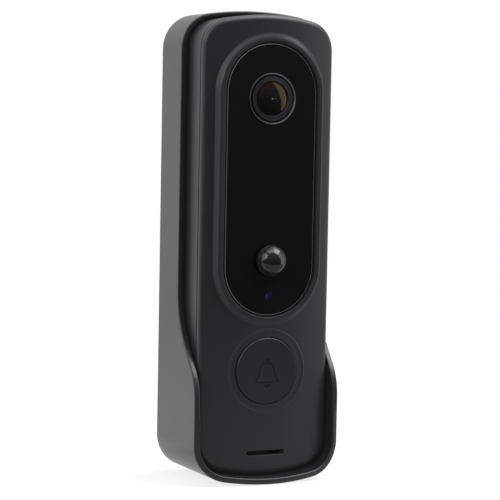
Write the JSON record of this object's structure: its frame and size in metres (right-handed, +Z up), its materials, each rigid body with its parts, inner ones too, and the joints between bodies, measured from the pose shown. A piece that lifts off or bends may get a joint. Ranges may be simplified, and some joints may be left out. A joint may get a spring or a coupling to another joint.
{
  "type": "video doorbell",
  "caption": "Battery video doorbell: crowned case with camera window, motion dome, call button and sound slot, locked in a wall tray with a raised lower lip.",
  "frame": {"origin": "middle of the tray's back face, on the wall plane", "axes": "+Z up along the doorbell, +Y into the wall, so the front faces -Y; +X to the right seen from the front"},
  "size_m": [0.048, 0.034, 0.1422],
  "materials": {
    "tray_plastic": "fine satin texture, near-black ABS",
    "case_plastic": "fine satin texture, near-black ABS",
    "button_plastic": "satin, near-black ABS",
    "window_acrylic": "polished black infrared-pass acrylic",
    "dome_plastic": "polished smoked polyethylene",
    "lens_metal": "black anodised",
    "lens_glass": "coated optical glass",
    "board_green": "green solder mask on glass-fibre laminate",
    "chip_black": "moulded epoxy",
    "shield_can": "tinned steel can",
    "screw_steel": "zinc-plated steel",
    "rubber_black": "soft silicone rubber",
    "tape_black": "foam adhesive",
    "led_blue": "diffused blue light body",
    "led_clear": "clear epoxy",
    "cell_wrap": "shrink sleeve on a steel can",
    "contact_nickel": "nickel-plated spring steel",
    "mesh_black": "woven water-repellent mesh",
    "antenna_foil": "copper foil on film"
  },
  "bodies": {
    "doorbell": {"mounting_tray": "tray_plastic", "tray_lock_screw": "screw_steel", "rear_housing": "case_plastic", "front_cover": "case_plastic", "housing_seal": "rubber_black", "window_panel": "window_acrylic", "window_tape": "tape_black", "lens_ring": "lens_metal", "lens_barrel": "lens_metal", "lens_front_glass": "lens_glass", "lens_inner_glass": "lens_glass", "lens_holder": "chip_black", "image_sensor": "chip_black", "camera_board": "board_green", "camera_screws": "screw_steel", "pir_dome": "dome_plastic", "pir_sensor": "shield_can", "main_board": "board_green", "main_board_screws": "screw_steel", "ir_lights": "led_clear", "light_sensor": "led_clear", "status_light": "led_blue", "light_pipe": "led_clear", "processor": "chip_black", "wifi_module": "shield_can", "wifi_antenna": "antenna_foil", "power_board": "board_green", "power_board_screws": "screw_steel", "usb_socket": "shield_can", "usb_bung": "rubber_black", "button_switch": "shield_can", "button_rest_pad": "rubber_black", "sound_mesh": "mesh_black", "speaker": "chip_black", "speaker_gasket": "tape_black", "microphone_boot": "rubber_black", "microphone": "shield_can", "battery_cell_left": "cell_wrap", "battery_cell_right": "cell_wrap", "battery_plus_plate": "contact_nickel", "battery_springs": "contact_nickel", "battery_door": "case_plastic", "battery_door_seal": "rubber_black", "battery_door_screw": "screw_steel", "case_screws": "screw_steel"},
    "button": {"call_button": "button_plastic", "switch_plunger": "chip_black"}
  },
  "joints": [
    {"name": "call_button_press", "type": "slide", "parent": "doorbell", "child": "button", "axis": [0, 1, 0], "range_m": [0, 0.0005], "stiffness_N_per_m": 3000}
  ]
}
